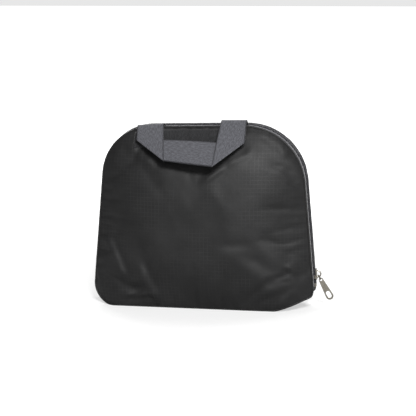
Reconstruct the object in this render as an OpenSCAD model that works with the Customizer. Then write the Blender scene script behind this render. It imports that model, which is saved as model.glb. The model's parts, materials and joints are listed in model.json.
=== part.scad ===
// Film changing bag, folded into its zipped D-shaped carrying pouch.
// The pouch stands on its base: +X is its right side, -Y its front and +Z is up.
// The origin is the middle of the base, on the surface that the pouch stands on.

/* [Pouch] */
// Width across the widest part of the sides
pouch_w = 242; // [215:1:260]
// Height of the top seam above the base, at the right shoulder
pouch_h = 199; // [185:1:220]
// Depth over the bellies of both panels
pouch_d = 72; // [64:1:84]
// Width of the zip band that joins the two panels
band_w = 32; // [28:1:36]
// Depth of the flat base
base_d = 56; // [48:1:60]
// Radius of the right shoulder
right_r = 66; // [50:1:72]
// Distance from the middle to the centre of the right shoulder
right_x = 45; // [38:1:54]
// Radius of the left shoulder
left_r = 55; // [50:1:68]
// Distance from the middle to the centre of the left shoulder
left_x = 56; // [44:1:60]
// How much lower the left shoulder stands
left_drop = 2.5; // [0:0.5:10]
// Radius of the two bottom corners
base_r = 23; // [16:1:24]
// How square the bellies are: higher is fuller near the seams
belly_power = 4; // [2.5:0.5:6]

/* [Cloth] */
// Thickness of the panel cloth
cloth_t = 1.2; // [0.8:0.1:2]
// Thickness of the base cloth
base_t = 1.6; // [1:0.1:2.5]
// Thickness of the woven zip tape
tape_t = 1; // [0.6:0.1:1.4]
// Thickness of the seam binding inside the pouch
binding_t = 1.5; // [1:0.1:2]
// Width of the seam binding
binding_w = 7; // [5:0.5:10]

/* [Zip] */
// Height of the coil above the tape
coil_h = 2.2; // [1.8:0.1:2.6]
// Width of each half of the coil
coil_w = 2.5; // [2:0.1:3]
// Height of the slider above the base
slider_z = 37; // [36:1:60]
// Length of the slider
slider_l = 12; // [10:0.5:14]
// Width of the slider at its mouth
slider_w = 9; // [8:0.5:10]
// Angle of the pull out from straight down
pull_angle = 29; // [24:1:60]
// Length of the pull tab from its eye to its tip
tab_l = 24.3; // [20:0.1:30]

/* [Handle] */
// Width of the handle webbing
strap_w = 30; // [25:1:34]
// Thickness of the handle webbing
strap_t = 1.4; // [1:0.1:1.8]
// Middle of the handle, from the middle of the pouch
handle_x = -13; // [-20:1:0]
// Gap between the legs of the handle
handle_gap = 62; // [50:1:72]
// Length of a leg's outer edge, from the fold to the mitre
leg_l = 27; // [22:1:32]
// Angle of the hanging handle out from straight down
handle_tilt = 45; // [43:1:60]

/* [Folded changing bag] */
// Width of the folded bag
fold_w = 186; // [170:1:196]
// Height of the folded bag
fold_h = 144; // [130:1:154]
// Thickness of the outer cloth, with its air
outer_t = 5; // [4:0.1:5.4]
// Thickness of the light-tight lining, with its air
lining_t = 4; // [3:0.1:4.4]
// Width of a flattened arm sleeve
sleeve_w = 84; // [70:1:90]
// Thickness of a flattened arm sleeve
sleeve_t = 9; // [7:0.5:10]

/* [Hidden] */
$fn = 48;

cloth_black = [0.05, 0.05, 0.05];
lining_black = [0.09, 0.09, 0.10];
tape_grey = [0.33, 0.33, 0.36];
strap_grey = [0.40, 0.40, 0.43];
facing_grey = [0.17, 0.17, 0.19];
coil_grey = [0.14, 0.14, 0.16];
nickel = [0.72, 0.70, 0.64];

joint_gap = 0.4;      // between pieces that part when the back opens
hinge_gap = 1;        // between the base cloth and the back that turns beside it
seam_gap = 0.2;       // between pieces that only lie together
far = 400;            // longer than anything here

// ---- The D-shaped outline, in the X-Z plane: four round corners joined by straight lines ----
function unit(a) = [cos(a), sin(a)];
base_x = pouch_w / 2 - base_r;
// Each corner's centre and radius, from the bottom right round to the bottom left.
corners = [[base_x, base_r, base_r], [right_x, pouch_h - right_r, right_r],
    [-left_x, pouch_h - left_drop - left_r, left_r], [-base_x, base_r, base_r]];
// Outward direction of the line that runs from one corner to the next.
function facing_out(k) = let (a = corners[k], b = corners[k + 1], dx = b[0] - a[0], dz = b[1] - a[1])
    (atan2(dz, dx) + 360) % 360 - acos((a[2] - b[2]) / norm([dx, dz]));
turns = [-90, facing_out(0), facing_out(1), facing_out(2), 270];
side_lean = turns[1];
crest_roll = 90 - turns[2];
function arc(x, z, r, a0, a1, n) = [for (i = [0:n]) [x, z] + r * unit(a0 + (a1 - a0) * i / n)];
function outline(inset) = [for (k = [0:3])
    each arc(corners[k][0], corners[k][1], corners[k][2] - inset, turns[k], turns[k + 1], k % 3 == 0 ? 7 : 10)];
// Height of the straight crest.
function crest_z(x) = pouch_h - right_r + (right_r - (x - right_x) * cos(turns[2])) / sin(turns[2]);
// The outline again, with its long straight runs cut into steps.
rim_step = 15;
function stepped(p) = [for (i = [0:len(p) - 1])
    let (q = p[(i + 1) % len(p)], n = max(1, ceil(norm(q - p[i]) / rim_step)))
    for (k = [0:n - 1]) p[i] + (q - p[i]) * k / n];
rim = stepped(outline(0));

// ---- The bellied panels ----
belly_middle = [0, pouch_h * 0.48];
belly_half = pouch_d / 2 - cloth_t;
// Half the pouch's depth at the seam: wide at the base, narrow along the zip.
function seam_half(p) = p[1] > base_r ? band_w / 2
    : band_w / 2 + (base_d - band_w) / 2 * min(1, (pouch_w / 2 - abs(p[0])) / base_r);
function belly_half_at(p, s) = seam_half(p) + (belly_half - seam_half(p)) * (1 - pow(s, belly_power));
// A point on the front panel: s is 0 in its middle and 1 at its seam, and lift is out from its inside face.
function front_point(p, s, lift) = let (q = belly_middle + s * (p - belly_middle))
    [q[0], -belly_half_at(p, s) - lift, q[1]];

module front_shell() {
    shares = [0.3, 0.52, 0.7, 0.83, 0.93, 1];
    n = len(rim);
    m = len(shares);
    side = m * n + 1;
    function ring(lift) = concat([front_point(rim[0], 0, lift)], [for (s = shares, p = rim) front_point(p, s, lift)]);
    function at(j, i) = 1 + j * n + i % n;
    out_faces = concat(
        [for (i = [0:n - 1]) [0, at(0, i), at(0, i + 1)]],
        [for (j = [0:m - 2], i = [0:n - 1]) [at(j, i), at(j + 1, i), at(j + 1, i + 1)]],
        [for (j = [0:m - 2], i = [0:n - 1]) [at(j, i), at(j + 1, i + 1), at(j, i + 1)]]);
    in_faces = [for (f = out_faces) [side + f[0], side + f[2], side + f[1]]];
    edge_faces = [for (i = [0:n - 1]) each [
        [at(m - 1, i), side + at(m - 1, i), side + at(m - 1, i + 1)],
        [at(m - 1, i), side + at(m - 1, i + 1), at(m - 1, i + 1)]]];
    all_faces = concat(out_faces, in_faces, edge_faces);
    polyhedron(concat(ring(cloth_t), ring(0)), [for (f = all_faces) [f[0], f[2], f[1]]]);
}

module front_panel() { color(cloth_black) front_shell(); }
module back_panel() { color(cloth_black) mirror([0, 1, 0]) front_shell(); }

// ---- Bands that follow the outline ----
// Draws a flat X-Z shape as a solid from y0 to y1.
module across(y0, y1) { translate([0, y1, 0]) rotate([90, 0, 0]) linear_extrude(y1 - y0) children(); }

module band(inset_out, inset_in, y0, y1, z0, z1 = far) {
    across(y0, y1) intersection() {
        difference() {
            polygon(outline(inset_out));
            polygon(outline(inset_in));
        }
        translate([-far / 2, z0]) square([far, z1 - z0]);
    }
}

module base_gusset() {
    half = pouch_w / 2;
    front = [-base_d / 2, -band_w / 2];
    back = [base_d / 2 - hinge_gap, band_w / 2 - hinge_gap];
    color(cloth_black) intersection() {
        band(0, base_t, -base_d, base_d, -1, base_r);
        linear_extrude(base_r) polygon([
            [-base_x, front[0]], [base_x, front[0]], [half, front[1]], [half, back[1]],
            [base_x, back[0]], [-base_x, back[0]], [-half, back[1]], [-half, front[1]]]);
    }
}

// ---- The zip ----
tape_edge = 1;                              // from the zip's middle to the woven edge
chain_gap = 0.6;                            // from the zip's middle to its coil
chain_end_z = 27;                           // where the coil ends, above the base
stop_l = 3.6;

module zip_tape_front() {
    color(tape_grey) band(0, tape_t, -band_w / 2, -tape_edge, base_r);
}
module zip_tape_back() {
    color(tape_grey) band(0, tape_t, tape_edge, band_w / 2, base_r + joint_gap);
}
module zip_coil_front() {
    color(coil_grey) band(-coil_h, 0, -chain_gap - coil_w, -chain_gap, chain_end_z);
}
module zip_coil_back() {
    color(coil_grey) band(-coil_h, 0, chain_gap, chain_gap + coil_w, chain_end_z);
}
module seam_binding_front() {
    color(cloth_black) band(tape_t, tape_t + binding_t, -band_w / 2, -band_w / 2 + binding_w, base_r);
}
module seam_binding_back() {
    color(cloth_black)
        band(tape_t, tape_t + binding_t, band_w / 2 - binding_w, band_w / 2, base_r + joint_gap);
}
module zip_stop(side, y0, y1, low) {
    z1 = chain_end_z - seam_gap;
    intersection() {
        band(-coil_h, -low, y0, y1, z1 - stop_l, z1);
        translate([side > 0 ? 0 : -far, -far / 2, 0]) cube(far);
    }
}
module zip_bottom_stop() {
    color(nickel) union() {
        zip_stop(-1, -chain_gap - coil_w, -chain_gap, 0);
        zip_stop(-1, -chain_gap, chain_gap + coil_w, joint_gap);
    }
}
module zip_top_stop_front() { color(nickel) zip_stop(1, -chain_gap - coil_w, -chain_gap, 0); }
module zip_top_stop_back() { color(nickel) zip_stop(1, chain_gap, chain_gap + coil_w, 0); }

// The chain's straight run up the right side: its start on the outline and its lean.
side_foot = [base_x, base_r] + base_r * unit(side_lean);
slider_up = (slider_z - side_foot[1]) / cos(side_lean);
slider_at = side_foot + slider_up * [-sin(side_lean), cos(side_lean)];
// Places children with X out from the tape and Z up the chain, at the slider's middle.
module at_slider() { translate([slider_at[0], 0, slider_at[1]]) rotate([0, -side_lean, 0]) children(); }

plate_t = 1.1;
plate_out = coil_h + 0.3;                   // underside of the outer plate
plate_in = tape_t + 0.3;                    // upper side of the inner plate
tail_w = slider_w - 2.4;
bow_r = 3.4;                                // bow, from its middle to the middle of its bar
bow_bar = 0.75;
bow_foot = 0.8;
bow_x = plate_out + plate_t + bow_foot;

module slider_plate(x0, x1) {
    mouth = -slider_l / 2;
    tail = slider_l / 2;
    corner = 1.4;
    translate([x0, 0, 0]) rotate([90, 0, 90]) linear_extrude(x1 - x0) union() {
        polygon([[-slider_w / 2, mouth + corner], [-slider_w / 2, mouth + slider_l * 0.45],
            [-tail_w / 2, tail - corner], [tail_w / 2, tail - corner],
            [slider_w / 2, mouth + slider_l * 0.45], [slider_w / 2, mouth + corner]]);
        for (y = [-1, 1]) {
            translate([y * (slider_w / 2 - corner), mouth + corner]) circle(corner);
            translate([y * (tail_w / 2 - corner), tail - corner]) circle(corner);
        }
        translate([-slider_w / 2 + corner, mouth]) square([slider_w - 2 * corner, corner]);
        translate([-tail_w / 2 + corner, tail - corner]) square([tail_w - 2 * corner, corner]);
    }
}

module zip_slider() {
    wedge_t = 0.7;
    wedge_l = 4;
    flange_t = 0.8;
    flange_gap = 0.35;
    color(nickel) at_slider() union() {
        slider_plate(plate_out, plate_out + plate_t);
        slider_plate(-plate_in - plate_t, -plate_in);
        // wedge that parts the coil and joins the plates
        translate([-plate_in - plate_t / 2, -wedge_t / 2, -slider_l / 2])
            cube([plate_out + plate_in + plate_t, wedge_t, wedge_l]);
        // front flange, over the edge of the front coil
        translate([flange_gap, -slider_w / 2, -slider_l / 2 + 1.4])
            cube([plate_out - flange_gap + 0.1, flange_t, slider_l * 0.45 - 1.4]);
        // bow that carries the pull
        translate([bow_x, 0, 0]) rotate([90, 0, 0]) intersection() {
            rotate_extrude() translate([bow_r, 0]) circle(bow_bar, $fn = 24);
            translate([0, -far / 2, -far / 2]) cube(far);
        }
        for (z = [-bow_r, bow_r])
            translate([bow_x - bow_foot - plate_t / 2, 0, z]) rotate([0, 90, 0])
                cylinder(bow_foot + plate_t / 2, r = bow_bar, $fn = 24);
    }
}

link_r = 0.55;                              // wire of the link
link_half_w = 2.2;                          // link's middle line, from the zip's middle
link_top = bow_r - bow_bar - seam_gap - link_r;
link_len = 4.8;
eye_r = 1.45;
eye_wall = 1;
tab_t = 1.2;
eye_shift = eye_r - link_r - seam_gap;

// Places children with -Z along the hanging pull and Y along its hinge, at the middle of the bow.
module at_bow() { at_slider() translate([bow_x, 0, 0]) rotate([0, side_lean - pull_angle, 0]) children(); }

module zip_pull_link() {
    color(nickel) at_bow() union() {
        for (z = [-link_top, -link_top - link_len])
            translate([0, link_half_w, z]) rotate([90, 0, 0]) cylinder(2 * link_half_w, r = link_r, $fn = 24);
        for (y = [-link_half_w, link_half_w]) {
            translate([0, y, -link_top - link_len]) cylinder(link_len, r = link_r, $fn = 24);
            for (z = [-link_top, -link_top - link_len]) translate([0, y, z]) sphere(link_r, $fn = 24);
        }
    }
}

module zip_pull_tab() {
    tip_r = 4.2;
    head_r = eye_r + eye_wall;
    tip_z = tip_r - tab_l;
    hole_r = 2.4;
    // angle of the straight sides that touch the head and the tip circles
    taper = asin((tip_r - head_r) / -tip_z);
    color(nickel) at_bow() translate([0, 0, -link_top - link_len - eye_shift]) across(-tab_t / 2, tab_t / 2)
        difference() {
            union() {
                circle(head_r);
                translate([0, tip_z]) circle(tip_r);
                polygon([head_r * unit(taper), head_r * unit(180 - taper),
                    [0, tip_z] + tip_r * unit(180 - taper), [0, tip_z] + tip_r * unit(taper)]);
            }
            circle(eye_r);
            for (z = [0.3, 3.5]) translate([0, tip_z + z]) circle(hole_r);
            translate([-hole_r, tip_z + 0.3]) square([2 * hole_r, 3.2]);
        }
}

// ---- The handle ----
fold_y = -16.2;                             // hinge line, where the webbing folds over the top
fold_z = crest_z(handle_x) + 3;
leg_x = [-handle_gap / 2 - strap_w, handle_gap / 2];

// Places children with X along the fold and -Z down the hanging strap.
module at_fold() {
    translate([handle_x, fold_y, fold_z]) rotate([0, crest_roll, 0]) rotate([-handle_tilt, 0, 0]) children();
}

module handle_strap() {
    out = leg_x[1] + strap_w;
    color(strap_grey) at_fold() union() {
        // legs, cut along the mitre
        for (side = [-1, 1]) {
            across(-strap_t / 2, strap_t / 2) polygon([[side * out, 0], [side * leg_x[1], 0],
                [side * leg_x[1], -leg_l - strap_w], [side * out, -leg_l]]);
            translate([side > 0 ? leg_x[1] : leg_x[0], 0, 0]) rotate([0, 90, 0])
                cylinder(strap_w, r = strap_t / 2, $fn = 24);
        }
        // crosspiece, folded behind the legs
        across(strap_t / 2, strap_t * 1.5) polygon([[-out, -leg_l], [out, -leg_l],
            [leg_x[1], -leg_l - strap_w], [-leg_x[1], -leg_l - strap_w]]);
    }
}

module handle_anchors() {
    color(strap_grey) for (x = leg_x) intersection() {
        band(-strap_t, 0, fold_y + 1.6, -chain_gap - coil_w - 0.7, base_r);
        translate([handle_x + x, -far / 2, 0]) cube([strap_w, far, far]);
    }
}

module handle_facing() {
    facing_t = 0.8;
    shares = [0.8, 0.86, 0.92, 0.97];
    left = handle_x + leg_x[0];
    right = handle_x + leg_x[1] + strap_w;
    top = [for (p = rim) if (p[1] > pouch_h * 0.95 && p[0] > left && p[0] < right + 3) p];
    n = len(top);
    m = len(shares);
    side = m * n;
    function sheet(lift) = [for (s = shares, p = top) front_point(p, s, lift)];
    function at(j, i) = j * n + i;
    out_faces = [for (j = [0:m - 2], i = [0:n - 2]) each [
        [at(j, i), at(j + 1, i), at(j + 1, i + 1)], [at(j, i), at(j + 1, i + 1), at(j, i + 1)]]];
    in_faces = [for (f = out_faces) [side + f[0], side + f[2], side + f[1]]];
    border = concat([for (i = [0:n - 1]) at(0, i)], [for (j = [1:m - 1]) at(j, n - 1)],
        [for (i = [n - 2:-1:0]) at(m - 1, i)], [for (j = [m - 2:-1:1]) at(j, 0)]);
    edge_faces = [for (k = [0:len(border) - 1]) let (a = border[k], b = border[(k + 1) % len(border)]) each [
        [a, b, side + b], [a, side + b, side + a]]];
    all_faces = concat(out_faces, in_faces, edge_faces);
    color(facing_grey) polyhedron(concat(sheet(cloth_t + facing_t), sheet(cloth_t + 0.02)),
        [for (f = all_faces) [f[0], f[2], f[1]]]);
}

// ---- The folded changing bag ----
pile_y = -22.6;                             // front face of the pile
pile_z = base_t + 0.4;
cloth_gap = 0.4;                            // where the same cloth lies against itself
pair = outer_t + seam_gap + lining_t;       // outer cloth and lining together
turn_r = pair + cloth_gap / 2;              // outside of a fold
pile_d = 4 * pair + 3 * cloth_gap;
low_z = pile_z + turn_r;
high_z = pile_z + fold_h - turn_r;

// Middles of the three folds, from the front: two at the bottom and one at the top between them.
fold_y_at = [for (k = [0:2]) pile_y + pair + cloth_gap / 2 + k * (pair + cloth_gap)];

// Draws a Y-Z shape as a solid from x0 to x1.
module along(x0, x1) { translate([x0, 0, 0]) rotate([90, 0, 90]) linear_extrude(x1 - x0) children(); }

// Half ring for one fold: up is 1 for a fold at the top.
module turn(y, z, r_out, r_in, up) {
    translate([y, z]) intersection() {
        difference() {
            circle(r_out);
            circle(r_in);
        }
        translate([-far / 2, up > 0 ? 0 : -far]) square(far);
    }
}

// One sheet of the pile. depth 0 is the outer cloth and 1 the lining, which lies inside the bottom folds.
module pile_sheet(depth) {
    t = depth == 0 ? outer_t : lining_t;
    near_r = depth == 0 ? turn_r - outer_t : cloth_gap / 2;     // inside radius of a bottom fold
    top_near_r = depth == 0 ? cloth_gap / 2 : cloth_gap / 2 + outer_t + seam_gap;
    along(-fold_w / 2, fold_w / 2) union() {
        for (k = [0, 2]) {
            turn(fold_y_at[k], low_z, near_r + t, near_r, -1);
            for (side = [-1, 1]) {
                // a leg runs up from each bottom fold, to the top fold or to its free edge
                y = fold_y_at[k] + (side > 0 ? near_r : -near_r - t);
                inner = (k == 0) == (side > 0);
                top = inner ? high_z : high_z + turn_r * 0.6;
                translate([y, low_z]) square([t, top - low_z]);
            }
        }
        turn(fold_y_at[1], high_z, top_near_r + t, top_near_r, 1);
    }
}

module changing_bag_outer() { color(lining_black) pile_sheet(0); }
module changing_bag_lining() { color(cloth_black) pile_sheet(1); }

// Flat-pressed ring, as a sleeve or an elastic lies.
module flat_ring(w, t, wall) {
    difference() {
        for (x = [-1, 1]) {
            translate([x * (w - t) / 2, 0]) circle(t / 2);
            translate([-(w - t) / 2, -t / 2]) square([w - t, t]);
        }
        for (x = [-1, 1]) {
            translate([x * (w - t) / 2, 0]) circle(t / 2 - wall);
            translate([-(w - t) / 2, -t / 2 + wall]) square([w - t, t - 2 * wall]);
        }
    }
}

sleeve_wall = 3;
sleeve_x = sleeve_w / 2 + 5;
sleeve_y = pile_y + pile_d + cloth_gap + sleeve_t / 2;
sleeve_z = pile_z + 8;
sleeve_l = fold_h - 24;
elastic_l = 8;

module arm_sleeve(side) {
    color(cloth_black) translate([side * sleeve_x, sleeve_y, sleeve_z]) linear_extrude(sleeve_l)
        flat_ring(sleeve_w, sleeve_t, sleeve_wall);
}
module cuff_elastic(side) {
    lining = sleeve_wall + seam_gap;
    color(strap_grey) translate([side * sleeve_x, sleeve_y, sleeve_z + sleeve_l - elastic_l - 2])
        linear_extrude(elastic_l) flat_ring(sleeve_w - 2 * lining, sleeve_t - 2 * lining, 1);
}
module arm_sleeve_left() { arm_sleeve(-1); }
module arm_sleeve_right() { arm_sleeve(1); }
module cuff_elastic_left() { cuff_elastic(-1); }
module cuff_elastic_right() { cuff_elastic(1); }

// The mouth of the changing bag: one zip on the outer cloth's free edge and one on the lining's.
mouth_z = high_z + turn_r * 0.6;
mouth_l = fold_w - 10;
mouth_tape_h = 9;
mouth_tape_t = 1;
mouth_coil = 2.2;
outer_mouth_y = fold_y_at[2] + turn_r - outer_t / 2;
inner_mouth_y = fold_y_at[2] + cloth_gap / 2 + lining_t / 2 - 1;

module mouth_zip(y) {
    color(coil_grey) union() {
        translate([-mouth_l / 2, y - mouth_tape_t / 2, mouth_z]) cube([mouth_l, mouth_tape_t, mouth_tape_h]);
        translate([-mouth_l / 2, y - mouth_coil / 2, mouth_z + mouth_tape_h - mouth_coil])
            cube([mouth_l, mouth_coil, mouth_coil]);
    }
}
module mouth_slider(y) {
    body = [9, 4.8, 5.6];
    slot = [mouth_coil + 0.5, mouth_coil + 0.5];
    z = mouth_z + mouth_tape_h - mouth_coil - 0.9;
    color(nickel) translate([-mouth_l / 2 + 14, y, z]) difference() {
        union() {
            translate([-body[0] / 2, -body[1] / 2, 0]) cube(body);
            translate([0, mouth_tape_t / 2, body[2] - 0.2]) rotate([90, 0, 0]) cylinder(mouth_tape_t, r = 2.4);
        }
        translate([-far / 2, -slot[0] / 2, 0.9 - 0.25]) cube([far, slot[0], slot[1]]);
        translate([-far / 2, -mouth_tape_t / 2 - 0.25, -1]) cube([far, mouth_tape_t + 0.5, 3]);
    }
}
module mouth_zip_outer() { mouth_zip(outer_mouth_y); }
module mouth_zip_inner() { mouth_zip(inner_mouth_y); }
module mouth_zip_outer_slider() { mouth_slider(outer_mouth_y); }
module mouth_zip_inner_slider() { mouth_slider(inner_mouth_y); }

front_panel();
back_panel();
base_gusset();
zip_tape_front();
zip_tape_back();
zip_coil_front();
zip_coil_back();
seam_binding_front();
seam_binding_back();
zip_bottom_stop();
zip_top_stop_front();
zip_top_stop_back();
zip_slider();
zip_pull_link();
zip_pull_tab();
handle_strap();
handle_anchors();
handle_facing();
changing_bag_outer();
changing_bag_lining();
arm_sleeve_left();
arm_sleeve_right();
cuff_elastic_left();
cuff_elastic_right();
mouth_zip_outer();
mouth_zip_inner();
mouth_zip_outer_slider();
mouth_zip_inner_slider();
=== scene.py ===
import json
import math
from collections import namedtuple

import bmesh
import bpy
import numpy as np
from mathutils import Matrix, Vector, noise
from mathutils.bvhtree import BVHTree


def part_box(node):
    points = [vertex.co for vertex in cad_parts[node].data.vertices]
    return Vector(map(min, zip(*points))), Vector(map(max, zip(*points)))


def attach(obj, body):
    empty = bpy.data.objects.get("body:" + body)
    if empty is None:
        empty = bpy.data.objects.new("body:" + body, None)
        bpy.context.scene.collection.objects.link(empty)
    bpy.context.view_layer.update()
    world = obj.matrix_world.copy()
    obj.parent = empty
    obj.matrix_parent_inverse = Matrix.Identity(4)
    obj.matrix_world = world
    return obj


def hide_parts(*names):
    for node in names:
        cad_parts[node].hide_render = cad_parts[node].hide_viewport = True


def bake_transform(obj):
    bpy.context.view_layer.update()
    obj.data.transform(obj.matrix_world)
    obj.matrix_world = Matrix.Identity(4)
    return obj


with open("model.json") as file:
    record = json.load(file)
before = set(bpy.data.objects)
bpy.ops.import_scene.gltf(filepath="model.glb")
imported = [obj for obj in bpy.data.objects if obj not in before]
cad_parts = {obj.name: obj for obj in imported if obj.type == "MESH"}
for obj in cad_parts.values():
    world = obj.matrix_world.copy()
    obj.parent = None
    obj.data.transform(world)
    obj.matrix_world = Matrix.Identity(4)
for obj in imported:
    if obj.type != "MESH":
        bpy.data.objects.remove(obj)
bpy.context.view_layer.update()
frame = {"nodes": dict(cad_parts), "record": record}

MM = 0.001

# ---------- driving dimensions, in millimetres
POUCH_W = 242.0
POUCH_H = 199.0
STRAP_W = 30.0                                # handle webbing
STRAP_T = 1.3
BASE_R = 23.0
BASE_X = POUCH_W / 2 - BASE_R
RIGHT = (45.0, POUCH_H - 66.0, 66.0)          # right shoulder: x, z, radius
LEFT = (-56.0, POUCH_H - 2.5 - 55.0, 55.0)    # left shoulder
BAND_HALF = 16.0                              # half the zip band
BASE_HALF = 28.0                              # half the flat base
FRONT, BACK = -1, 1                           # the side of the pouch, as the sign of Y
BELLY_HALF = {FRONT: 43.0, BACK: 38.5}        # how far each panel's middle stands out
BELLY_POWER = {FRONT: 2.3, BACK: 2.7}         # how square-shouldered each belly is
BELLY_SLACK = 3.0                             # how far folds may stand proud of the belly
OPEN_REACH, OPEN_LEAN = 28.6, 0.25            # the back's limit: at the base, and its rise with height
TAPE_EDGE = 1.0                               # gap from the middle of the zip to the tape
CLOTH_T = 0.9
MIDDLE = np.array([0.0, POUCH_H * 0.48])      # the middle that the panels' grids spread from


# ---------- the D-shaped outline, in the X-Z plane
def unit(angle):
    return np.array([math.cos(angle), math.sin(angle)])


CORNERS = [(BASE_X, BASE_R, BASE_R), RIGHT, LEFT, (-BASE_X, BASE_R, BASE_R)]


def facing_out(k):
    """Outward direction of the line that runs from one corner to the next."""
    (ax, az, ar), (bx, bz, br) = CORNERS[k], CORNERS[k + 1]
    heading = math.atan2(bz - az, bx - ax) % (2 * math.pi)
    return heading - math.acos((ar - br) / math.hypot(bx - ax, bz - az))


TURNS = [-math.pi / 2, facing_out(0), facing_out(1), facing_out(2), 1.5 * math.pi]


def soften(points):
    """The lower right corner is lifted a little off the surface, as a slack corner is."""
    lifted = np.array(points, float)
    x, z = lifted[:, 0], lifted[:, 1]
    ramp = 0.40 * (x - 82.0)
    gap = z - ramp
    blended = ramp + 0.5 * (gap + np.sqrt(gap ** 2 + 4.0))
    lifted[:, 1] = np.where(x > 70, blended, z)
    return lifted


def resample(points, count, closed=False):
    """Evenly spaced points along a polyline."""
    points = np.asarray(points, float)
    if closed:
        points = np.vstack([points, points[:1]])
    step = np.linalg.norm(np.diff(points, axis=0), axis=1)
    along = np.concatenate([[0], np.cumsum(step)])
    at = np.linspace(0, along[-1], count + 1 if closed else count)
    if closed:
        at = at[:-1]
    return np.stack([np.interp(at, along, points[:, k]) for k in range(points.shape[1])], 1)


def rim_points():
    """The whole rim, from the middle of the base to the right, up, over the top and back along the base."""
    rim = [np.zeros(2)]
    for k, (x, z, r) in enumerate(CORNERS):
        for angle in np.linspace(TURNS[k], TURNS[k + 1], 24):
            rim.append(np.array([x, z]) + r * unit(angle))
    rim.append(np.zeros(2))
    return soften(resample(rim, 900))


RIM = rim_points()


def outward_of(path):
    """Directions square to a path, to the right of its course, which on the rim is outward."""
    tangent = np.gradient(path, axis=0)
    tangent /= np.linalg.norm(tangent, axis=1)[:, None]
    return np.stack([tangent[:, 1], -tangent[:, 0]], 1)


def seam_half(p):
    """Half the pouch's depth at the seam: wide at the base and narrow along the zip."""
    share = np.clip((POUCH_W / 2 - abs(p[0])) / BASE_R, 0, 1)
    low = np.clip((BASE_R - p[1]) / 3.0, 0, 1)
    return BAND_HALF + (BASE_HALF - BAND_HALF) * share * low


def smooth(x, low, high):
    t = np.clip((np.asarray(x, float) - low) / (high - low), 0, 1)
    return t * t * (3 - 2 * t)


def wander(x, y, scale, seed):
    """Smooth noise from about -1 to 1."""
    return noise.noise(Vector((x / scale + 17.3 * seed, y / scale - 9.1 * seed, 3.7 * seed)))


# ---------- mesh helpers
def grid_faces(rows, cols, base=0):
    """Quads of a sheet whose points are numbered row by row from base."""
    corners = [base + j * cols + i for j in range(rows - 1) for i in range(cols - 1)]
    return [(k, k + 1, k + cols + 1, k + cols) for k in corners]


def ring_faces(rings, size, looped=False):
    """Quads between neighbouring rings of size points. In a looped tube the last ring meets the first."""
    faces = []
    for k in range(rings if looped else rings - 1):
        here, ahead = k * size, (k + 1) % rings * size
        for i in range(size):
            j = (i + 1) % size
            faces.append((here + i, here + j, ahead + j, ahead + i))
    return faces


def end_faces(rings, size):
    """The two closed ends of a tube."""
    last = (rings - 1) * size
    return [tuple(range(size)), tuple(last + i for i in reversed(range(size)))]


def make_object(name, verts, faces, uv=None):
    """A mesh object from points in millimetres. uv is a (u, v) for each, in millimetres along the cloth."""
    mesh = bpy.data.meshes.new(name)
    mesh.from_pydata([tuple(float(c) * MM for c in v) for v in verts], [], [tuple(f) for f in faces])
    mesh.validate()
    if uv is not None:
        layer = mesh.uv_layers.new(name="cloth")
        flat = np.array([uv[loop.vertex_index] for loop in mesh.loops], float).ravel()
        layer.data.foreach_set("uv", flat)
    bm = bmesh.new()
    bm.from_mesh(mesh)
    bmesh.ops.recalc_face_normals(bm, faces=bm.faces)
    bm.to_mesh(mesh)
    bm.free()
    for polygon in mesh.polygons:
        polygon.use_smooth = True
    obj = bpy.data.objects.new(name, mesh)
    bpy.context.scene.collection.objects.link(obj)
    return obj


def apply_modifiers(obj):
    """Bakes the object's modifiers into its mesh."""
    graph = bpy.context.evaluated_depsgraph_get()
    mesh = bpy.data.meshes.new_from_object(obj.evaluated_get(graph))
    obj.modifiers.clear()
    old = obj.data
    obj.data = mesh
    bpy.data.meshes.remove(old)
    return obj


def get_points(obj):
    flat = np.zeros(len(obj.data.vertices) * 3, np.float32)
    obj.data.vertices.foreach_get("co", flat)
    return flat.reshape(-1, 3).astype(float) / MM


def set_points(obj, points):
    obj.data.vertices.foreach_set("co", (np.asarray(points, float) * MM).astype(np.float32).ravel())
    obj.data.update()


def subdivide(obj, levels):
    mod = obj.modifiers.new("subdivide", "SUBSURF")
    mod.levels = levels
    mod.render_levels = levels
    return apply_modifiers(obj)


def thicken(obj, thickness, offset=-1):
    """Adds thickness, on the side away from the normals or, with an offset of 0, half on each side."""
    mod = obj.modifiers.new("thicken", "SOLIDIFY")
    mod.thickness = thickness * MM
    mod.offset = offset
    mod.use_even_offset = False
    return apply_modifiers(obj)


def round_edges(obj, width, angle):
    """Rounds the edges sharper than an angle in degrees."""
    mod = obj.modifiers.new("round", "BEVEL")
    mod.width = width * MM
    mod.segments = 2
    mod.limit_method = "ANGLE"
    mod.angle_limit = math.radians(angle)
    return apply_modifiers(obj)


def simulate(obj, pinned, frames=26, pressure=4.0, growth=0.035, stiffness=8.0, bending=0.4):
    """Cloth simulation under pressure with some points pinned. growth is how much larger the cloth is cut."""
    group = obj.vertex_groups.new(name="pinned")
    group.add([int(index) for index in pinned], 1.0, "REPLACE")
    mod = obj.modifiers.new("cloth", "CLOTH")
    cloth = mod.settings
    cloth.quality = 6
    cloth.mass = 0.15
    cloth.tension_stiffness = stiffness
    cloth.compression_stiffness = stiffness
    cloth.shear_stiffness = stiffness * 0.4
    cloth.bending_stiffness = bending
    cloth.vertex_group_mass = "pinned"
    cloth.use_pressure = True
    cloth.uniform_pressure_force = pressure
    cloth.shrink_min = -growth
    cloth.effector_weights.gravity = 0
    mod.collision_settings.use_collision = False
    mod.point_cache.frame_start = 1
    mod.point_cache.frame_end = frames
    scene = bpy.context.scene
    for step in range(1, frames + 1):
        scene.frame_set(step)
    apply_modifiers(obj)
    obj.vertex_groups.clear()
    scene.frame_set(1)
    return obj


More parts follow.
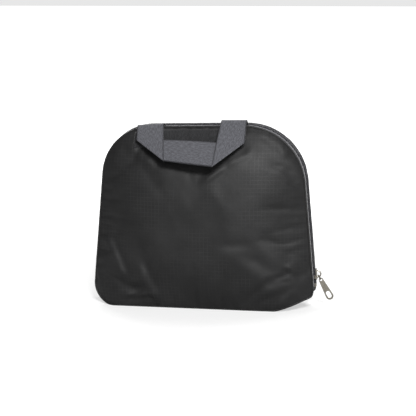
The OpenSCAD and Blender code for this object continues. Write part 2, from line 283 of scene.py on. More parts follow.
# ---------- camera, floor and light
def camera():
    azimuth, elevation, distance = math.radians(10), math.radians(9), 1.5
    target = Vector((0.0030, 0, 0.1066))
    level = math.cos(elevation)
    back = Vector((math.sin(azimuth) * level, -math.cos(azimuth) * level, math.sin(elevation)))
    data = bpy.data.cameras.new("camera")
    data.sensor_width = 36
    data.lens = 118.5
    cam = bpy.data.objects.new("camera", data)
    cam.location = target + distance * back
    cam.rotation_euler = back.to_track_quat("Z", "Y").to_euler()
    bpy.context.scene.collection.objects.link(cam)
    bpy.context.scene.camera = cam


def area_light(name, location, target, size, power):
    data = bpy.data.lights.new(name, "AREA")
    data.shape = "RECTANGLE"
    data.size, data.size_y = size
    data.energy = power
    lamp = bpy.data.objects.new(name, data)
    lamp.location = location
    lamp.rotation_euler = (Vector(location) - Vector(target)).to_track_quat("Z", "Y").to_euler()
    bpy.context.scene.collection.objects.link(lamp)


def paper_floor(half=30.0):
    """A grey floor with a painted glow that whitens it away from the object and is weakest next to it, which
    paints shade round the object.
    """
    mesh = bpy.data.meshes.new("floor")
    corners = [(x * half, y * half, 0) for x, y in ((-1, -1), (1, -1), (1, 1), (-1, 1))]
    mesh.from_pydata(corners, [], [(0, 1, 2, 3)])
    floor = bpy.data.objects.new("floor", mesh)
    bpy.context.scene.collection.objects.link(floor)
    n = Nodes("floor_paper")
    n.set(Base_Color=(0.5, 0.5, 0.5, 1), Roughness=0.9, Specular_IOR_Level=0.0, Emission_Color=(1, 1, 1, 1))
    away = n.node("ShaderNodeVectorMath", operation="LENGTH")
    n.link(n.node("ShaderNodeTexCoord").outputs["Object"], away.inputs[0])
    # painted glow from 0.52 next to the object to 1.0 further off: painted light that whitens the floor, and
    # painted shade round the object on top of its real contact shadow
    lift = n.remap(away.outputs["Value"], 0.1, 0.8, 0.52, 1.0)
    # the painted glow is only for what the camera sees, so the floor lights nothing
    seen = n.node("ShaderNodeLightPath").outputs["Is Camera Ray"]
    n.link(n.math("MULTIPLY", lift, seen), n.shader.inputs["Emission Strength"])
    mesh.materials.append(n.mat)


def white_room(light=0.1):
    """Weak even light from all round. Seen directly, it is a plain pale grey."""
    world = bpy.data.worlds.new("studio")
    world.use_nodes = True
    tree = world.node_tree
    room = tree.nodes["Background"]
    room.inputs["Color"].default_value = (1, 1, 1, 1)
    room.inputs["Strength"].default_value = light
    seen = tree.nodes.new("ShaderNodeBackground")
    seen.inputs["Strength"].default_value = 1.0
    choose = tree.nodes.new("ShaderNodeMixShader")
    tree.links.new(tree.nodes.new("ShaderNodeLightPath").outputs["Is Camera Ray"], choose.inputs[0])
    tree.links.new(room.outputs[0], choose.inputs[1])
    tree.links.new(seen.outputs[0], choose.inputs[2])
    tree.links.new(choose.outputs[0], tree.nodes["World Output"].inputs["Surface"])
    bpy.context.scene.world = world


def studio():
    paper_floor()
    white_room()
    area_light("key", (0.55, -1.5, 1.05), (0, 0, 0.1), (0.45, 0.3), 38)
    area_light("fill", (0.6, -1.6, 0.6), (0, 0, 0.15), (0.4, 0.4), 3)
    area_light("top", (0.0, 0.5, 1.6), (0, 0, 0.12), (1.4, 0.6), 9)
    area_light("back", (-0.9, 1.5, 1.0), (0, 0, 0.1), (0.9, 0.7), 18)
    area_light("back_right", (1.3, 1.2, 0.8), (0, 0, 0.1), (0.5, 0.5), 6)
    view = bpy.context.scene.view_settings
    view.view_transform = "Standard"
    view.look = "None"


# ---------- materials
class Nodes:
    """Short calls for building a node material."""

    def __init__(self, name):
        self.mat = bpy.data.materials.new(name)
        self.mat.use_nodes = True
        self.tree = self.mat.node_tree
        self.shader = self.tree.nodes["Principled BSDF"]

    def set(self, **values):
        for key, value in values.items():
            self.shader.inputs[key.replace("_", " ")].default_value = value
        return self

    def link(self, out, target):
        self.tree.links.new(out, target)

    def node(self, kind, **values):
        made = self.tree.nodes.new(kind)
        for key, value in values.items():
            if key in made.inputs:
                made.inputs[key].default_value = value
            else:
                setattr(made, key, value)
        return made

    def math(self, operation, a, b=0.0):
        made = self.tree.nodes.new("ShaderNodeMath")
        made.operation = operation
        for slot, value in zip(made.inputs, (a, b)):
            if isinstance(value, (int, float)):
                slot.default_value = value
            else:
                self.link(value, slot)
        return made.outputs[0]

    def axes(self, use_uv):
        """Two coordinates in millimetres along the cloth, and the full vector."""
        if use_uv:
            vector = self.node("ShaderNodeUVMap", uv_map="cloth").outputs["UV"]
            split = self.node("ShaderNodeSeparateXYZ")
            self.link(vector, split.inputs[0])
            return split.outputs[0], split.outputs[1], vector
        scale = self.node("ShaderNodeVectorMath", operation="SCALE")
        scale.inputs["Scale"].default_value = 1000
        self.link(self.node("ShaderNodeTexCoord").outputs["Object"], scale.inputs[0])
        split = self.node("ShaderNodeSeparateXYZ")
        self.link(scale.outputs[0], split.inputs[0])
        return split.outputs[0], split.outputs[2], scale.outputs[0]

    def noise(self, vector, scale, detail=3.0):
        made = self.node("ShaderNodeTexNoise", Scale=scale, Detail=detail)
        self.link(vector, made.inputs["Vector"])
        return made.outputs["Fac"]

    def rib(self, axis, pitch):
        """A smooth ridge every pitch millimetres, from 0 to 1."""
        wave = self.math("SINE", self.math("MULTIPLY", axis, 2 * math.pi / pitch))
        return self.math("ADD", self.math("MULTIPLY", wave, 0.5), 0.5)

    def remap(self, value, start, end, low=0.0, high=1.0):
        """The value's run from start to end spread from low to high, and held there beyond."""
        made = self.node("ShaderNodeMapRange")
        for key, number in (("From Min", start), ("From Max", end), ("To Min", low), ("To Max", high)):
            made.inputs[key].default_value = number
        self.link(value, made.inputs["Value"])
        return made.outputs["Result"]

    def grid(self, axis, pitch, width):
        """1 on a thin line every pitch millimetres, else 0, with soft sides."""
        place = self.math("FRACT", self.math("DIVIDE", axis, pitch))
        offset = self.math("ABSOLUTE", self.math("SUBTRACT", place, 0.5))
        return self.remap(offset, width, width * 0.4)

    def ramp(self, fac, stops):
        made = self.node("ShaderNodeValToRGB")
        elements = made.color_ramp.elements
        while len(elements) < len(stops):
            elements.new(0.5)
        for element, (place, color) in zip(elements, stops):
            element.position = place
            element.color = (*color, 1)
        self.link(fac, made.inputs["Fac"])
        return made.outputs["Color"]

    def bump(self, height, strength, distance, before=None):
        made = self.node("ShaderNodeBump", Strength=strength, Distance=distance)
        self.link(height, made.inputs["Height"])
        if before is not None:
            self.link(before, made.inputs["Normal"])
        return made.outputs["Normal"]


def tint(color, factor):
    return tuple(min(1.0, c * factor) for c in color)


def ripstop(name, color, square=4.0):
    """Thin coated nylon: fine plain weave with a square grid of thicker threads that shows in patches."""
    n = Nodes(name)
    u, v, vector = n.axes(True)
    grid = n.math("MAXIMUM", n.grid(u, square, 0.09), n.grid(v, square, 0.09))
    grid = n.math("MULTIPLY", grid, n.remap(n.noise(vector, 0.022, 2.0), 0.44, 0.6, 0.08, 0.8))
    weave = n.math("MULTIPLY", n.rib(u, 0.55), n.rib(v, 0.55))
    cloud = n.noise(vector, 0.03, 4.0)
    height = n.math("ADD", n.math("MULTIPLY", grid, 1.0), n.math("MULTIPLY", weave, 0.4))
    normal = n.bump(n.noise(vector, 0.12, 5.0), 0.35, 0.0006)
    n.link(n.bump(height, 0.3, 0.00012, normal), n.shader.inputs["Normal"])
    shade = n.math("ADD", n.math("MULTIPLY", cloud, 0.6), n.math("MULTIPLY", grid, 0.25))
    n.link(n.ramp(shade, [(0.2, tint(color, 0.6)), (0.75, tint(color, 1.5))]), n.shader.inputs["Base Color"])
    rough = n.math("ADD", n.math("MULTIPLY", cloud, 0.2), 0.46)
    n.link(n.math("SUBTRACT", rough, n.math("MULTIPLY", grid, 0.06)), n.shader.inputs["Roughness"])
    n.set(Sheen_Weight=0.03, Sheen_Roughness=0.4, Specular_IOR_Level=0.27)
    return n.mat


def webbing(name, color, rib_pitch=1.1, gain=1.0, painted_edge_shade=True):
    """Flat nylon webbing: slanted twill ribs, mottled yarn and, if asked, darker edges that are painted
    shade.
    """
    n = Nodes(name)
    u, v, vector = n.axes(True)
    slope = n.math("ADD", u, n.math("MULTIPLY", v, 0.6))
    twill = n.rib(slope, rib_pitch)
    cross = n.rib(v, 0.7)
    height = n.math("ADD", n.math("MULTIPLY", twill, 0.7), n.math("MULTIPLY", cross, 0.5))
    fuzz = n.noise(vector, 1.5, 4.0)
    height = n.math("ADD", height, n.math("MULTIPLY", fuzz, 0.4))
    n.link(n.bump(height, 0.55, 0.00025), n.shader.inputs["Normal"])
    stretch = n.node("ShaderNodeVectorMath", operation="MULTIPLY")
    stretch.inputs[1].default_value = (1.0, 0.3, 1.0)
    n.link(vector, stretch.inputs[0])
    streaks = n.noise(stretch.outputs[0], 0.9, 5.0)
    shade = n.math("ADD", n.math("MULTIPLY", height, 0.3), n.math("MULTIPLY", streaks, 0.7))
    base = n.ramp(shade, [(0.42, tint(color, 0.45 * gain)), (0.82, tint(color, 1.6 * gain))])
    # painted shade: both edges of the strap darkened, for the dark line where the legs lie over the
    # crosspiece
    if painted_edge_shade:
        half = STRAP_W / 2
        from_middle = n.math("ABSOLUTE", n.math("SUBTRACT", u, half))
        edge_shade_mix = n.node("ShaderNodeMix", data_type="RGBA", blend_type="MULTIPLY")
        edge_shade_mix.inputs[7].default_value = (0.35, 0.35, 0.36, 1)
        n.link(n.remap(from_middle, half - 1.4, half - 0.5), edge_shade_mix.inputs[0])
        n.link(base, edge_shade_mix.inputs[6])
        base = edge_shade_mix.outputs[2]
    n.link(base, n.shader.inputs["Base Color"])
    n.set(Roughness=0.85, Sheen_Weight=0.1, Sheen_Roughness=0.5, Specular_IOR_Level=0.2)
    return n.mat


def plain_weave(name, color, pitch, rough=0.75, sheen=0.2):
    """Woven tape or cloth with threads a pitch apart both ways."""
    n = Nodes(name)
    u, v, vector = n.axes(True)
    height = n.math("ADD", n.math("MULTIPLY", n.rib(u, pitch), n.rib(v, pitch)),
                    n.math("MULTIPLY", n.noise(vector, 1.0, 3.0), 0.4))
    n.link(n.bump(height, 0.5, 0.0002), n.shader.inputs["Normal"])
    cloud = n.math("MULTIPLY", n.noise(vector, 0.08, 4.0), 0.6)
    cloud = n.math("ADD", cloud, n.math("MULTIPLY", height, 0.3))
    n.link(n.ramp(cloud, [(0.2, tint(color, 0.75)), (0.8, tint(color, 1.3))]), n.shader.inputs["Base Color"])
    n.set(Roughness=rough, Sheen_Weight=sheen, Sheen_Roughness=0.5, Specular_IOR_Level=0.3)
    return n.mat


def metal(name, color, rough=0.28):
    """Nickel plate with fine tumbling marks."""
    n = Nodes(name)
    vector = n.axes(False)[2]
    marks = n.noise(vector, 2.2, 6.0)
    n.link(n.bump(marks, 0.12, 0.0001), n.shader.inputs["Normal"])
    n.link(n.ramp(n.noise(vector, 0.7, 4.0), [(0.3, tint(color, 0.82)), (0.7, tint(color, 1.08))]),
           n.shader.inputs["Base Color"])
    n.link(n.math("ADD", n.math("MULTIPLY", marks, 0.22), rough - 0.1), n.shader.inputs["Roughness"])
    n.set(Metallic=1.0)
    return n.mat


def plastic(name, color, rough=0.45):
    """Moulded or drawn nylon with a slightly uneven surface."""
    n = Nodes(name)
    vector = n.axes(False)[2]
    n.link(n.bump(n.noise(vector, 1.6, 4.0), 0.15, 0.0001), n.shader.inputs["Normal"])
    n.link(n.ramp(n.noise(vector, 0.4, 3.0), [(0.3, tint(color, 0.85)), (0.7, tint(color, 1.2))]),
           n.shader.inputs["Base Color"])
    n.set(Roughness=rough, Specular_IOR_Level=0.5)
    return n.mat


def colour(slot):
    """The record's colour for a material slot."""
    for entry in frame["record"]["materials"]:
        if entry["slot"] == slot:
            return tuple(entry["base_color"][:3])
    raise KeyError(slot)


MATERIALS = {
    "nylon_black": ripstop("nylon_black", colour("nylon_black")),
    "zip_tape": plain_weave("zip_tape", colour("zip_tape"), 0.9),
    "zip_coil": plastic("zip_coil", colour("zip_coil")),
    "binding": plain_weave("binding", colour("binding"), 0.7),
    "nickel": metal("nickel", colour("nickel")),
    "webbing": webbing("webbing", colour("webbing")),
    "facing": webbing("facing", colour("facing"), 1.6, 0.7, False),
    "bag_cloth": plain_weave("bag_cloth", colour("bag_cloth"), 0.6, 0.6, 0.3),
    "bag_lining": plain_weave("bag_lining", colour("bag_lining"), 0.6, 0.4, 0.05),
    "elastic": plain_weave("elastic", colour("elastic"), 1.0, 0.8, 0.3),
    "thread": plastic("thread", (0.05, 0.05, 0.055), 0.7),
}


def finish_piece(obj, slot, body=None, replaces=()):
    """Material, slot, body and the CAD nodes that the piece stands for."""
    obj.data.materials.clear()
    obj.data.materials.append(MATERIALS[slot])
    if body is not None:
        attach(obj, body)
    if replaces:
        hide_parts(*replaces)
    return obj


# ---------- the two bellied panels
RINGS = 34                                    # rings of a panel's grid, from its middle to its seam
BULGE_CAP = 6.5                               # the most that the simulation moves a point


def corner_marks():
    """The closed outline, and the number of the point at each of its four corners from the lower right."""
    closed = resample(RIM, 2001)[:-1]
    marks = []
    for x, z, r in CORNERS:
        aim = np.array([x, z]) + r * unit(math.atan2(z - MIDDLE[1], x - MIDDLE[0]))
        marks.append(int(np.argmin(np.linalg.norm(closed - aim, axis=1))))
    return closed, marks


def panel_grid():
    """A square grid drawn into the outline: points, quads, shares from middle to seam and rim points."""
    closed, marks = corner_marks()
    count = len(closed)
    flat, share, rim = [], [], []
    for j in range(-RINGS, RINGS + 1):
        for i in range(-RINGS, RINGS + 1):
            ring = max(abs(i), abs(j))
            if ring == 0:
                flat.append(MIDDLE)
                share.append(0.0)
                rim.append(closed[0])
                continue
            # which side of its square ring the point is on, and how far along it, anticlockwise
            a, b = i / ring, j / ring
            if a == 1 and b > -1:
                side, t = 0, (b + 1) / 2
            elif b == 1:
                side, t = 1, (1 - a) / 2
            elif a == -1:
                side, t = 2, (1 - b) / 2
            else:
                side, t = 3, (a + 1) / 2
            start, end = marks[side], marks[(side + 1) % 4]
            if end < start:
                end += count
            place = (start + t * (end - start)) % count
            k = int(place)
            p = closed[k] + (place - k) * (closed[(k + 1) % count] - closed[k])
            s = ring / RINGS
            flat.append(MIDDLE + s * (p - MIDDLE))
            share.append(s)
            rim.append(p)
    side = 2 * RINGS + 1
    return np.array(flat), grid_faces(side, side), np.array(share), np.array(rim)


def crease(points, x0, z0, x1, z1, width, depth):
    """How far a fold line dents the cloth at each point: a groove with a low ridge beside it."""
    a, b = np.array([x0, z0]), np.array([x1, z1])
    d = b - a
    t = np.clip(((points - a) @ d) / (d @ d), 0, 1)
    offset = points - (a + t[:, None] * d)
    side = (offset[:, 0] * d[1] - offset[:, 1] * d[0]) / np.linalg.norm(d)
    ends = smooth(t, 0.0, 0.3) * (1 - smooth(t, 0.7, 1.0)) + 0.15
    inside = np.linalg.norm(offset, axis=1)
    fade = np.exp(-(inside / (2.2 * width)) ** 2)
    groove = np.exp(-(side / width) ** 2)
    ridge = np.exp(-((side - 1.9 * width) / width) ** 2)
    return depth * ends * fade * (groove - 0.6 * ridge)


# each fold line: its two ends (x, z), its width and its depth, which is negative for a ridge
FRONT_CREASES = [
    # pulls under the handle
    (-88, 181, -44, 151, 3.5, -1.7), (3, 138, 30, 158, 3.0, -1.9), (26, 156, 58, 173, 3.4, -1.1),
    (56, 170, 90, 170, 3.4, -0.5), (48, 184, 80, 176, 2.2, -0.4), (58, 190, 88, 168, 2.0, 0.7),
    (66, 160, 104, 150, 4.0, 0.8), (-66, 158, -30, 118, 6.0, 0.8),
    # the fold left by packing, down the middle and across
    (14, 152, 13, 22, 8.0, -1.0), (-8, 140, -6, 26, 6.0, 0.6), (2, 72, 62, 76, 5.0, 0.9),
    # slack in the lower corners
    (-101, 86, -68, 27, 5.5, 3.2), (-62, 62, -42, 14, 5.0, 2.4), (-84, 60, -62, 20, 4.0, -1.2),
    (-90, 12.5, -46, 17, 3.2, -3.2), (52, 64, 84, 40, 6.0, 1.3), (60, 92, 106, 52, 7.0, 1.2),
    (96, 26, 60, 9, 4.0, 1.6), (90, 54, 104, 42, 3.5, -1.2), (-104, 150, -76, 132, 6.0, 1.0),
    (102, 104, 112, 92, 2.2, -1.0)]
BACK_CREASES = [
    (92, 96, 62, 18, 6.0, 2.4), (-80, 78, -52, 16, 5.0, 1.8), (0, 165, 3, 26, 9.0, 0.8),
    (-66, 194, -92, 154, 4.5, 1.6), (70, 194, 96, 160, 4.5, 1.5), (-30, 150, 36, 128, 7.0, 0.9),
    (98, 22, 58, 12, 4.0, -1.6), (-96, 20, -60, 10, 4.0, -1.4), (40, 100, 60, 70, 5.0, 0.8)]


def above_table(obj):
    """Lifts any point below the table onto it."""
    points = get_points(obj)
    points[:, 2] = np.maximum(points[:, 2], 0.0)
    set_points(obj, points)


def panel(name, facing, creases, seed):
    """The front or back panel: bellied, swollen under pressure, then creased."""
    flat, quads, share, rim = panel_grid()
    half = np.array([seam_half(p) for p in rim])
    full = half + (BELLY_HALF[facing] - half) * (1 - share ** BELLY_POWER[facing])
    pucker = np.array([wander(p[0], p[1], 9.0, seed) for p in rim])
    edge = smooth(share, 0.55, 0.97) * (1 - smooth(share, 0.97, 1.0))
    depth = full - 1.5 * (1 - share ** 2) + 0.6 * pucker * edge
    points = np.stack([flat[:, 0], facing * depth, flat[:, 1]], 1)
    faces = quads if facing == FRONT else [q[::-1] for q in quads]
    obj = make_object(name, points, faces, uv=flat)
    rings = np.round(share * RINGS).astype(int)
    simulate(obj, np.nonzero(rings == RINGS)[0])
    step = get_points(obj) - points
    length = np.linalg.norm(step, axis=1)
    step *= (BULGE_CAP * np.tanh(length / BULGE_CAP) / np.maximum(length, 1e-9))[:, None]
    points = points + step
    dent = sum(crease(flat, *c) for c in creases)
    dent = dent * (1 - smooth(share, 0.9, 1.0))
    slack = np.array([wander(*p, 42.0, seed + 5) + 0.5 * wander(*p, 19.0, seed + 9) for p in flat])
    points[:, 1] -= facing * (dent - 1.2 * slack * (1 - share ** 4))
    reach = np.abs(points[:, 1])
    if facing == BACK:
        # the opened back lies on the table, so its lower belly stays this side of where the table comes
        reach = np.minimum(reach, OPEN_REACH + OPEN_LEAN * points[:, 2])
    points[:, 1] = facing * np.minimum(reach, BELLY_HALF[facing] + BELLY_SLACK)
    points[:, 2] = np.maximum(points[:, 2], 0.0)
    set_points(obj, points)
    subdivide(obj, 1)
    above_table(obj)
    return thicken(obj, CLOTH_T)


# ---------- bands that follow the outline
BAND_LOW = {FRONT: BASE_R, BACK: BASE_R + 0.4}   # where each half's bands start, above the table


def rim_stations(step, low):
    """Evenly spaced places along the rim above a height: points, outward directions and the spacing."""
    above = np.array([p for p in RIM if p[1] >= low])
    length = np.linalg.norm(np.diff(above, axis=0), axis=1).sum()
    path = resample(above, int(length / step) + 1)
    return path, outward_of(path), step


def sweep(name, path, outward, profile, step):
    """A band whose closed profile, in (depth, height above the outline), may change along the path.
    profile(k, p) gives the points at one station."""
    rings = [profile(k, p) for k, p in enumerate(path)]
    size = len(rings[0])
    verts, uv = [], []
    for k, (p, n) in enumerate(zip(path, outward)):
        for y, out in rings[k]:
            place = p + n * out
            verts.append((place[0], y, place[1]))
            uv.append((y + out, k * step))
    return make_object(name, verts, ring_faces(len(path), size) + end_faces(len(path), size), uv=uv)


def slab(y0, y1, low, high, cuts=5):
    """Closed profile of a thin band, with its outer face cut so that it can ripple."""
    outer = [(y, high) for y in np.linspace(y0, y1, cuts)]
    inner = [(y, low) for y in np.linspace(y1, y0, cuts)]
    return outer + inner


def tape(name, sign):
    """Half of the zip tape. Its sewn side ripples a little and its free side stays straight."""
    path, outward, step = rim_stations(2.5, BAND_LOW[sign])

    def profile(k, p):
        ring = []
        for y, out in slab(TAPE_EDGE, BAND_HALF, -1.0, 0.0, 7):
            weight = smooth(y, 4.5, 13.0)
            lift = 0.9 * weight * wander(k * step, y, 14.0, 3 + sign)
            ring.append((sign * y, out + lift - 0.4 * weight))
        return ring

    return sweep(name, path, outward, profile, step)


def base_cloth(name):
    """The cloth between the panels under the pouch, turned up at both corners."""
    keep = np.array([p for p in RIM if p[1] < BASE_R])
    right, left = keep[keep[:, 0] > 0], keep[keep[:, 0] < 0]
    path = resample(np.vstack([left, right]), 150)
    step = 1.6                                # about the spacing of those points

    def profile(k, p):
        half = seam_half(p)
        ring = []
        for y, out in slab(-half, half - 1.0, -1.2, 0.0, 11):
            weight = (1 - (y / half) ** 2) * smooth(p[1], 1.0, 8.0)
            ring.append((y, out - weight * (0.8 + 0.8 * wander(k * step, y, 12.0, 7))))
        return ring

    return sweep(name, path, outward_of(path), profile, step)


def seam_binding(name, sign):
    """Folded tape that covers the raw edges inside the pouch."""
    path, outward, step = rim_stations(3.0, BAND_LOW[sign])

    def profile(k, p):
        puff = 0.25 * wander(k * step, 0.0, 6.0, 11 + sign)
        section = [(15.9, -1.1), (12.5, -1.1), (9.0, -1.1), (8.8, -1.8), (9.4, -2.5),
                   (12.5, -2.7 - puff), (15.6, -2.5)]
        return [(sign * y, out) for y, out in section]

    return sweep(name, path, outward, profile, step)


def rod(points, radius, sides):
    """Verts and faces of a closed-ended rod along points in 3-D."""
    points = [np.array(p, float) for p in points]
    verts = []
    for k, p in enumerate(points):
        ahead = points[min(k + 1, len(points) - 1)] - points[max(k - 1, 0)]
        ahead /= np.linalg.norm(ahead)
        side = np.cross(ahead, (0.31, 0.17, 0.93) if abs(ahead[2]) < 0.8 else (1, 0, 0))
        side /= np.linalg.norm(side)
        up = np.cross(side, ahead)
        for i in range(sides):
            angle = 2 * math.pi * i / sides
            verts.append(p + radius * (math.cos(angle) * side + math.sin(angle) * up))
    return verts, ring_faces(len(points), sides) + end_faces(len(points), sides)


def scatter(name, pieces):
    """One object from many (verts, faces) pieces."""
    verts, faces = [], []
    for piece_verts, piece_faces in pieces:
        base = len(verts)
        verts.extend(piece_verts)
        faces.extend(tuple(base + i for i in f) for f in piece_faces)
    return make_object(name, verts, faces)


CHAIN_END = 27.0                              # height at which the coil's teeth stop
TOOTH_PITCH = 1.5


def coil(name, sign):
    """The nylon coil: one bent loop a tooth, with the two halves half a pitch apart."""
    path, outward, step = rim_stations(TOOTH_PITCH, CHAIN_END)
    tangent = np.stack([-outward[:, 1], outward[:, 0]], 1)
    loop = [(3.0, 0.35), (2.75, 1.55), (1.9, 1.85), (1.0, 1.8), (0.5, 1.35), (0.55, 0.75), (1.3, 0.4)]
    pieces = []
    shift = 0.5 * step if sign == BACK else 0.0
    for p, n, t in zip(path, outward, tangent):
        places = []
        for i, (y, out) in enumerate(loop):
            slide = shift + 0.5 * (i / (len(loop) - 1) - 0.5)
            spot = p + n * out + t * slide
            places.append((spot[0], sign * y, spot[1]))
        pieces.append(rod(places, 0.33, 6))
    # the core cord that the coil is sewn down with
    core = [(p[0] + n[0] * 0.95, sign * 1.9, p[1] + n[1] * 0.95) for p, n in zip(path[::3], outward[::3])]
    pieces.append(rod(core, 0.5, 6))
    return scatter(name, pieces)


def stitch_line(name, path, outward, y, out, pitch=3.2, length=2.2, radius=0.22):
    """A row of stitches along the rim, at depth y and standing out from it."""
    run = np.concatenate([[0], np.cumsum(np.linalg.norm(np.diff(path, axis=0), axis=1))])
    pieces = []
    for start in np.arange(1.0, run[-1] - length, pitch):
        places = []
        for share, lift in ((0, -0.3), (0.25, 0.1), (0.75, 0.1), (1, -0.3)):
            at = start + share * length
            p = np.array([np.interp(at, run, path[:, 0]), np.interp(at, run, path[:, 1])])
            n = np.array([np.interp(at, run, outward[:, 0]), np.interp(at, run, outward[:, 1])])
            spot = p + n * (out + lift)
            places.append((spot[0], y, spot[1]))
        pieces.append(rod(places, radius, 5))
    return scatter(name, pieces)


# ---------- metal pieces, with their edges rounded
def rounded_copy(node, body, width):
    """A copy of a CAD piece with its sharp edges rounded, as cast and tumbled metal has."""
    source = frame["nodes"][node]
    obj = source.copy()
    obj.data = source.data.copy()
    for key in [k for k in obj.keys() if k.startswith("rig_")]:
        del obj[key]
    obj.name = node + "_rounded"
    obj.parent = None
    bpy.context.scene.collection.objects.link(obj)
    bm = bmesh.new()
    bm.from_mesh(obj.data)
    bmesh.ops.remove_doubles(bm, verts=bm.verts, dist=0.02 * MM)
    bmesh.ops.dissolve_limit(bm, angle_limit=math.radians(2), verts=bm.verts, edges=bm.edges)
    bm.to_mesh(obj.data)
    bm.free()
    round_edges(obj, width, 35)
    for polygon in obj.data.polygons:
        polygon.use_smooth = True
    mod = obj.modifiers.new("shade", "WEIGHTED_NORMAL")
    mod.keep_sharp = True
    apply_modifiers(obj)
    return finish_piece(obj, "nickel", body, [node])


# ---------- the webbing handle
SLOPE = math.radians(45)                      # the hanging handle's slope
STRAP_CUTS = 10


def strap_sheet(name, rows):
    """A ribbon of webbing from rows of (left point, right point), each in millimetres."""
    verts, uv = [], []
    along = 0.0
    last = None
    for left, right in rows:
        left, right = np.array(left, float), np.array(right, float)
        middle = (left + right) / 2
        if last is not None:
            along += np.linalg.norm(middle - last)
        last = middle
        for i in range(STRAP_CUTS + 1):
            share = i / STRAP_CUTS
            verts.append(left + share * (right - left))
            uv.append((share * STRAP_W, along))
    obj = make_object(name, verts, grid_faces(len(rows), STRAP_CUTS + 1), uv=uv)
    thicken(obj, STRAP_T, 0)
    return round_edges(obj, 0.35, 50)


def hem(name, sign):
    """The rolled seam that joins a panel to the bands round it."""
    closed = resample(RIM, 420)[:-1]
    tangent = np.roll(closed, -1, axis=0) - np.roll(closed, 1, axis=0)
    tangent /= np.linalg.norm(tangent, axis=1)[:, None]
    outward = np.stack([tangent[:, 1], -tangent[:, 0]], 1)
    verts, uv, sides = [], [], 10
    step = 1.8                                # about the spacing of those points
    for k, (p, n) in enumerate(zip(closed, outward)):
        radius = 1.05 + 0.22 * wander(k * step, 0, 7.0, 81 + sign)
        sink = 0.9 if sign == BACK and p[1] < BASE_R else 0.1
        for i in range(sides):
            angle = 2 * math.pi * i / sides
            place = p + n * (radius * math.cos(angle) - 0.35)
            y = seam_half(p) + 0.35 - sink + radius * math.sin(angle)
            verts.append((place[0], sign * y, max(place[1], 0.05)))
            uv.append((i * 0.7, k * step))
    return make_object(name, verts, ring_faces(len(closed), sides, looped=True), uv=uv)


def crest_height(x):
    """Height of the outline's top at x."""
    top = RIM[RIM[:, 1] > POUCH_H * 0.6]
    order = np.argsort(top[:, 0])
    return float(np.interp(x, top[order, 0], top[order, 1]))


def slope_point(x, fold_z, run):
    """A point on the hanging handle, run millimetres down from its fold."""
    sag = 1.6 * math.sin(min(1.0, run / 55.0) * math.pi)
    return (x, -17.6 - run * math.sin(SLOPE) - sag, fold_z - run * math.cos(SLOPE) + sag * 0.4)


# For each leg's two edges: X at the fold, X at the end, how far down that end is and how far it stands off.
# bulge is how high the whole fold stands above the band.
Leg = namedtuple("Leg", "fold_x end_x runs stand_off bulge")
HANDLE_LEFT = Leg((-71.5, -42.2), (-69.0, -34.5), (19.6, 50.0), (0.0, 3.0), 2.0)
HANDLE_RIGHT = Leg((20.5, 48.0), (17.5, 49.5), (62.0, 29.5), (1.6, 0.3), 4.8)
CREST_GAP = STRAP_T / 2 + 0.35                # from the crest to the middle of webbing that lies on it
TUCK_X, TUCK_RUN = 45.5, 33.5                 # where the crosspiece's upper corner is tucked in on the right


def fold_height(edges, x):
    """Height of the middle of a leg's webbing at its fold."""
    return crest_height(x) + CREST_GAP + edges.bulge


def leg(name, edges):
    """One leg: sewn to the band, folded over the crest and hanging to its mitre."""
    rows = []
    for y in (-3.9, -6.5, -9.5, -12.5, -15.0):
        rise = CREST_GAP + edges.bulge * smooth(-y, 5.0, 14.0)
        rows.append([(x, y, crest_height(x) + rise) for x in edges.fold_x])
    rows.append([(x, -16.9, fold_height(edges, x) - 0.35) for x in edges.fold_x])
    for share in np.linspace(0.02, 1.0, 16):
        pair = []
        for x0, x1, run, off in zip(edges.fold_x, edges.end_x, edges.runs, edges.stand_off):
            x, y, z = slope_point(x0 + (x1 - x0) * share, fold_height(edges, x0) - 0.5, run * share)
            pair.append((x, y - off * share, z))
        rows.append(pair)
    return strap_sheet(name, rows)


def leg_end(edges):
    """The two corners at a leg's lower end, as the crosspiece meets them from behind."""
    corners = []
    for x0, x1, run, off in zip(edges.fold_x, edges.end_x, edges.runs, edges.stand_off):
        x, y, z = slope_point(x1, fold_height(edges, x0) - 0.5, run - 0.2)
        corners.append((x, y - off + 0.4, z))
    return corners


def handle_pieces():
    """Left leg, right leg and the crosspiece folded behind them."""
    low_left = leg_end(HANDLE_LEFT)
    low_right = leg_end(HANDLE_RIGHT)[::-1]
    low_right[0] = slope_point(TUCK_X, fold_height(HANDLE_RIGHT, TUCK_X) - 0.5, TUCK_RUN)
    rows = []
    for t in np.linspace(0, 1, 22):
        bow = math.sin(math.pi * t)
        upper, lower = (np.array(a) + t * (np.array(b) - np.array(a)) for a, b in zip(low_left, low_right))
        upper += (0, STRAP_T + 0.15 + 2.4 * bow, 1.4 * bow)
        lower += (0, STRAP_T + 0.15 - 1.5 * bow, 0)
        rows.append((upper, lower))
    return (leg("handle_leg_left", HANDLE_LEFT), leg("handle_leg_right", HANDLE_RIGHT),
            strap_sheet("handle_crosspiece", rows))


# ---------- the folded changing bag inside
PILE_HALF = 91.5                              # half the pile's width
FOLD_LOW, FOLD_HIGH = 11.4, 136.6             # heights of the middles of the lower and upper folds
FOLD_Y = (-13.2, -3.6, 6.0)                   # middles of the three folds, from the front
FREE_TOP = 142.0                              # height of the free edges


def half_turn(y, z, radius, start, end):
    """Points round a fold whose middle is at (y, z), without the first."""
    return [(y + radius * math.cos(a), z + radius * math.sin(a)) for a in np.linspace(start, end, 14)[1:]]


